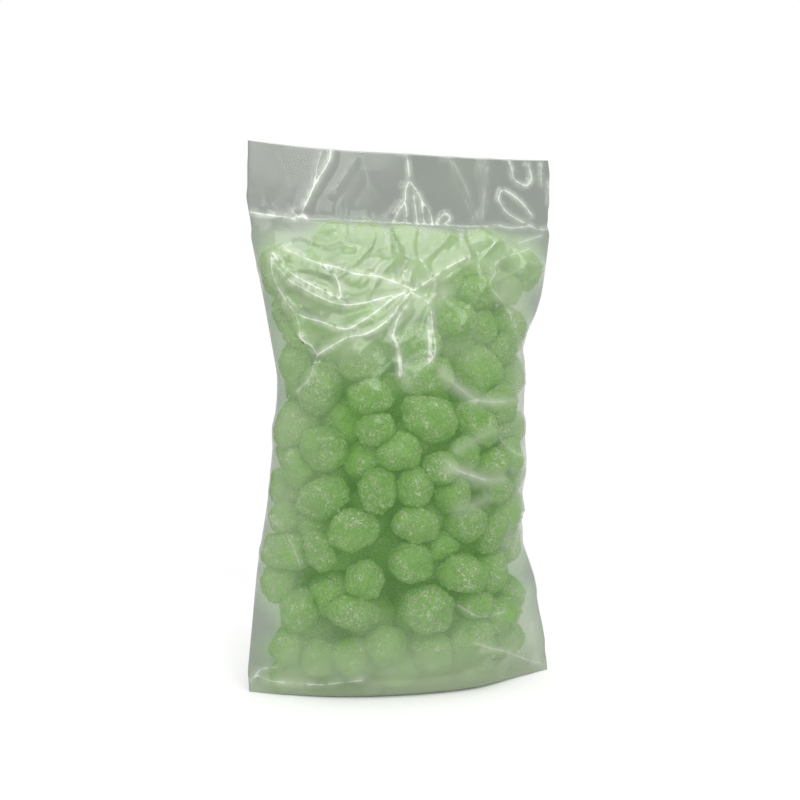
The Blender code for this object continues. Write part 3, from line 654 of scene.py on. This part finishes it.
def film_grid(peanuts):
    """Both plies of the film as grids, and the depth of their side folds."""
    cad_points, cad_faces = mesh_arrays(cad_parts["bag_film"].data)
    cad_tree = BVHTree.FromPolygons(list(map(Vector, cad_points)), cad_faces.tolist())
    fold_depth = cad_points[np.argmax(cad_points[:, 0]), 1]
    points = []
    triangles = []
    for piece in peanuts:
        piece_points, piece_faces = mesh_arrays(piece.data)
        triangles.extend((piece_faces + len(points)).tolist())
        points.extend(map(Vector, piece_points))
    fill_tree = BVHTree.FromPolygons(points, triangles)

    heights = film_rows()
    probe = np.clip(heights, RAY_BASE_MARGIN, BAG_TOP - RAY_TOP_MARGIN)
    folds = np.array([fold_places(cad_tree, fold_depth, up) for up in probe])
    fill_points = np.array(points)
    for row, up in enumerate(heights):
        level_with = fill_points[np.abs(fill_points[:, 2] - up) < FOLD_REACH, 0]
        if len(level_with):
            folds[row, 0] = min(folds[row, 0], level_with.min() - FOLD_ROOM)
            folds[row, 1] = max(folds[row, 1], level_with.max() + FOLD_ROOM)
    for _ in range(FOLD_ROUNDS):
        folds[1:-1] = (folds[:-2] + 2 * folds[1:-1] + folds[2:]) / 4
    generator = np.random.default_rng(FILM_SEED)
    sheets = {side: film_sheet(side, cad_tree, fill_tree, fold_depth, folds, heights, generator)
              for side in (-1, 1)}
    return sheets, fold_depth


def film_points(sheets, fold_depth, row_total):
    """The film's points, their fields, and the point number of each side's rows and columns."""
    numbers = {}
    points = []
    values = []
    middle = np.abs(np.linspace(-1, 1, FILM_COLUMNS + 1)) ** SAG_POWER
    for side in (-1, 1):
        across, depth, up, crest, white, haze_and_sheen, green_bounce = sheets[side]
        sway = header_wave(across, up)
        up = up - HEADER_SAG * (1 - middle) * header_share(up)
        for row in range(row_total):
            for column in range(FILM_COLUMNS + 1):
                if side > 0 and (row == 0 or column in (0, FILM_COLUMNS)):
                    numbers[side, row, column] = numbers[-1, row, column]
                    continue
                numbers[side, row, column] = len(points)
                if row < BASE_ROWS:
                    share = row / BASE_ROWS
                    edge = side * depth[0, column]
                    points.append((across[0, column], fold_depth + (edge - fold_depth) * share, FILM_LIFT))
                    values.append((0.0, 0.0, haze_and_sheen[0, column], green_bounce[0, column]))
                else:
                    at = row - BASE_ROWS
                    points.append((across[at, column], side * depth[at, column] - sway[at, column],
                                   up[at, column] + FILM_LIFT))
                    values.append((crest[at, column], white[at, column], haze_and_sheen[at, column],
                                   green_bounce[at, column]))
    return points, values, numbers


def film_faces(values, numbers, row_total):
    """The film's faces, split into triangles along the creases so that their crests stay sharp."""
    faces = []
    for side in (-1, 1):
        for row in range(row_total - 1):
            for column in range(FILM_COLUMNS):
                corners = [numbers[side, row, column], numbers[side, row, column + 1],
                           numbers[side, row + 1, column + 1], numbers[side, row + 1, column]]
                if side > 0:
                    corners.reverse()
                whole = list(dict.fromkeys(corners))
                near = [values[corner][0] for corner in whole]
                if len(whole) == 4 and max(near) > SPLIT_CREST:
                    turn = 0 if near[0] + near[2] > near[1] + near[3] else 1
                    whole = whole[turn:] + whole[:turn]
                    faces.extend((whole[:3], [whole[2], whole[3], whole[0]]))
                elif len(whole) > 2:
                    faces.append(whole)
    return faces


def film_piece(peanuts, finish):
    """The film: one sheet of tube, from the seam across its base to its open mouth."""
    sheets, fold_depth = film_grid(peanuts)
    row_total = sheets[-1][0].shape[0] + BASE_ROWS
    points, values, numbers = film_points(sheets, fold_depth, row_total)
    mesh = bpy.data.meshes.new("film_bag")
    mesh.from_pydata(points, [], film_faces(values, numbers, row_total))
    for name, field in zip(("crest", "whiteness", "haze_and_sheen", "green_bounce"), np.array(values, np.float32).T):
        mesh.attributes.new(name, "FLOAT", "POINT").data.foreach_set("value", field)
    mesh.shade_smooth()
    mesh.materials.append(finish)
    piece = bpy.data.objects.new("film_bag", mesh)
    bpy.context.scene.collection.objects.link(piece)
    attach(piece, "root")
    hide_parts("bag_film")
    return piece


def new_material(name, sockets):
    """A material with its node tree, and its one shader with the values of its sockets."""
    made = bpy.data.materials.new(name)
    made.use_nodes = True
    shader = made.node_tree.nodes["Principled BSDF"]
    for socket, value in sockets.items():
        shader.inputs[socket].default_value = value
    return made, made.node_tree, shader


def add_node(tree, kind, sockets=None, **properties):
    """Add a node, and set its plain properties and the values of its sockets."""
    node = tree.nodes.new(kind)
    for name, value in properties.items():
        setattr(node, name, value)
    for name, value in (sockets or {}).items():
        node.inputs[name].default_value = value
    return node


def add_noise(tree, place, sockets):
    """A noise that lies fixed in the object, and its value."""
    noise = add_node(tree, "ShaderNodeTexNoise", sockets)
    tree.links.new(place.outputs["Object"], noise.inputs["Vector"])
    return noise.outputs["Fac"]


def add_ramp(tree, value, stops):
    """The colour of a ramp at a value, from stops of position and colour."""
    ramp = add_node(tree, "ShaderNodeValToRGB")
    elements = ramp.color_ramp.elements
    for index, (position, colour) in enumerate(stops):
        stop = elements[index] if index < len(elements) else elements.new(position)
        stop.position = position
        stop.color = colour
    tree.links.new(value, ramp.inputs["Fac"])
    return ramp.outputs["Color"]


def add_range(tree, value, sockets, **properties):
    """A value mapped to another range."""
    mapped = add_node(tree, "ShaderNodeMapRange", sockets, **properties)
    tree.links.new(value, mapped.inputs["Value"])
    return mapped.outputs["Result"]


def add_product(tree, first, second):
    """Two values multiplied."""
    product = add_node(tree, "ShaderNodeMath", operation="MULTIPLY")
    tree.links.new(first, product.inputs[0])
    tree.links.new(second, product.inputs[1])
    return product.outputs[0]


def add_mix(tree, factor, first, colour):
    """A colour mixed by a factor with a second, which is plain or another node's."""
    mixed = add_node(tree, "ShaderNodeMix", data_type="RGBA")
    tree.links.new(factor, mixed.inputs["Factor"])
    tree.links.new(first, mixed.inputs["A"])
    if isinstance(colour, tuple):
        mixed.inputs["B"].default_value = colour
    else:
        tree.links.new(colour, mixed.inputs["B"])
    return mixed.outputs["Result"]


def film_material():
    """Clear glossy film: painted green bounce light over the fill, milky where the haze is and along bands
    of painted highlight, and white along its creases, mostly painted highlight and partly the film's
    whitening.
    """
    made, tree, shader = new_material("clear_film", {
        "Roughness": 0.22, "IOR": 1.5, "Specular IOR Level": 0.5, "Coat Weight": 0.4,
        "Coat Roughness": 0.06})
    place = add_node(tree, "ShaderNodeTexCoord")
    field = {name: add_node(tree, "ShaderNodeAttribute", attribute_name=name).outputs["Fac"]
             for name in ("crest", "whiteness", "haze_and_sheen", "green_bounce")}
    cloud = add_noise(tree, place, {"Scale": 45, "Detail": 4})
    clear, green_bounce_colour = [add_ramp(tree, cloud, zip(FILM_CLOUD, shades)) for shades in (CLEAR_FILM, GREEN_BOUNCE_FILM)]
    tint = add_mix(tree, field["green_bounce"], clear, green_bounce_colour)
    below = add_mix(tree, field["haze_and_sheen"], tint, MILKY_AND_HIGHLIGHT_FILM)
    least, most = FILM_OPACITY
    opacity = add_range(tree, field["haze_and_sheen"], {"To Min": least, "To Max": most})
    tree.links.new(opacity, shader.inputs["Alpha"])
    # The crease lines: painted highlight, partly the film's whitening, broken up by a noise
    line_breakup = add_noise(tree, place, {"Scale": 170, "Detail": 2})
    broken = add_range(tree, line_breakup, {"From Min": 0.36, "From Max": 0.58, "To Min": 0.22})
    strength = add_product(tree, field["whiteness"], broken)
    for start, full, colour in CREASE_LINES:
        line = add_range(tree, field["crest"], {"From Min": start, "From Max": full},
                         interpolation_type="SMOOTHSTEP")
        below = add_mix(tree, add_product(tree, line, strength), below, colour)
    tree.links.new(below, shader.inputs["Base Color"])
    return made


def add_bump(tree, height, distance):
    """A bump of full strength, and its node."""
    bump = add_node(tree, "ShaderNodeBump", {"Strength": 1.0, "Distance": distance})
    tree.links.new(height, bump.inputs["Height"])
    return bump


def peanut_material(name, shades):
    """Puffed starch: green, with fine crinkles whose pale flecks are painted glints."""
    made, tree, shader = new_material(name, {"Roughness": 0.42, "Specular IOR Level": 0.6})
    place = add_node(tree, "ShaderNodeTexCoord")
    broad = add_noise(tree, place, {"Scale": 75, "Detail": 3})
    fine = add_noise(tree, place, {"Scale": 400, "Detail": 1.5, "Roughness": 0.6, "Distortion": 1.2})
    base = add_ramp(tree, broad, zip(STARCH_CLOUD, shades))
    worms = add_ramp(tree, fine, FLECK_BANDS)
    patch = add_range(tree, broad, {"From Min": 0.42, "From Max": 0.56, "To Min": 0.22})
    share = add_product(tree, worms, patch)
    tree.links.new(add_mix(tree, share, base, GLINT_FLECK), shader.inputs["Base Color"])
    folds = add_noise(tree, place, {"Scale": 210, "Detail": 1, "Distortion": 1})
    crumple = add_bump(tree, folds, CRUMPLE_BUMP)
    bump = add_bump(tree, share, FLECK_BUMP)
    tree.links.new(crumple.outputs["Normal"], bump.inputs["Normal"])
    tree.links.new(bump.outputs["Normal"], shader.inputs["Normal"])
    return made


def add_camera():
    """The photograph's view: level, from the bag's left."""
    lens = bpy.data.cameras.new("camera")
    lens.sensor_width = SENSOR
    lens.lens = SENSOR * FOCAL_SHARE
    camera = bpy.data.objects.new("camera", lens)
    camera.location = (CAMERA_ACROSS - CAMERA_AWAY * math.sin(CAMERA_LEFT),
                       -CAMERA_AWAY * math.cos(CAMERA_LEFT), CAMERA_UP)
    camera.rotation_euler = (math.pi / 2, 0, -CAMERA_LEFT)
    bpy.context.scene.collection.objects.link(camera)
    bpy.context.scene.camera = camera


def add_lamp(name, place, aim, size, power):
    """A rectangular lamp that looks at a point."""
    light = bpy.data.lights.new(name, "AREA")
    light.shape = "RECTANGLE"
    light.size, light.size_y = size
    light.energy = power
    lamp = bpy.data.objects.new(name, light)
    lamp.location = place
    lamp.rotation_euler = (Vector(aim) - Vector(place)).to_track_quat("-Z", "Y").to_euler()
    bpy.context.scene.collection.objects.link(lamp)


def add_world():
    """Soft fill light all round, seen as plain white by the camera, in gloss and through film."""
    world = bpy.data.worlds.new("studio")
    bpy.context.scene.world = world
    world.use_nodes = True
    tree = world.node_tree
    back = tree.nodes["Background"]
    back.inputs["Color"].default_value = WHITE
    path = add_node(tree, "ShaderNodeLightPath")
    seen = path.outputs["Is Camera Ray"]
    for ray in ("Is Glossy Ray", "Is Transmission Ray"):
        either = add_node(tree, "ShaderNodeMath", operation="MAXIMUM")
        tree.links.new(seen, either.inputs[0])
        tree.links.new(path.outputs[ray], either.inputs[1])
        seen = either.outputs[0]
    level = add_range(tree, seen, {"To Min": WORLD_FILL, "To Max": 1.0})
    tree.links.new(level, back.inputs["Strength"])


def add_floor():
    """A white floor that keeps the bag's shadow and runs out into the white background."""
    mesh = bpy.data.meshes.new("floor")
    corners = [(x * FLOOR_REACH, y * FLOOR_REACH, 0) for x, y in ((-1, -1), (1, -1), (1, 1), (-1, 1))]
    mesh.from_pydata(corners, [], [(0, 1, 2, 3)])
    made, tree, shader = new_material("white_floor", {"Base Color": FLOOR_GREY, "Roughness": 0.9})
    place = add_node(tree, "ShaderNodeTexCoord")
    length = add_node(tree, "ShaderNodeVectorMath", operation="LENGTH")
    tree.links.new(place.outputs["Object"], length.inputs[0])
    start, full = FLOOR_FADE
    fade = add_range(tree, length.outputs["Value"], {"From Min": start, "From Max": full})
    glow = add_node(tree, "ShaderNodeEmission")
    blend = add_node(tree, "ShaderNodeMixShader")
    tree.links.new(fade, blend.inputs["Fac"])
    tree.links.new(shader.outputs["BSDF"], blend.inputs[1])
    tree.links.new(glow.outputs["Emission"], blend.inputs[2])
    tree.links.new(blend.outputs["Shader"], tree.nodes["Material Output"].inputs["Surface"])
    mesh.materials.append(made)
    floor = bpy.data.objects.new("floor", mesh)
    floor.location.z = cad_box[0].z - FLOOR_DROP
    bpy.context.scene.collection.objects.link(floor)


def build():
    """The dressed peanuts, the film over them, and the studio."""
    generator = np.random.default_rng(SKIN_SEED)
    front_starch = peanut_material("puffed_starch", FRONT_STARCH)
    inner_glow_starch = peanut_material("puffed_starch_inner_glow", INNER_GLOW_STARCH)
    peanuts = []
    for node in sorted(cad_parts):
        if node == "bag_film":
            continue
        front = node.startswith("front")
        name = node.replace("front_peanut", "peanut").replace("peanut_cluster", "peanut_group")
        level, swell = (FRONT_LEVEL, FRONT_SWELL) if front else (GROUP_LEVEL, GROUP_SWELL)
        piece = dressed_peanut(node, name, level, swell, generator)
        piece.data.materials.clear()
        piece.data.materials.append(front_starch if front else inner_glow_starch)
        peanuts.append(piece)
    film_piece(peanuts, film_material())
    add_camera()
    add_world()
    add_floor()
    for lamp in LAMPS:
        add_lamp(*lamp)
    bpy.context.scene.view_settings.view_transform = "Standard"


build()
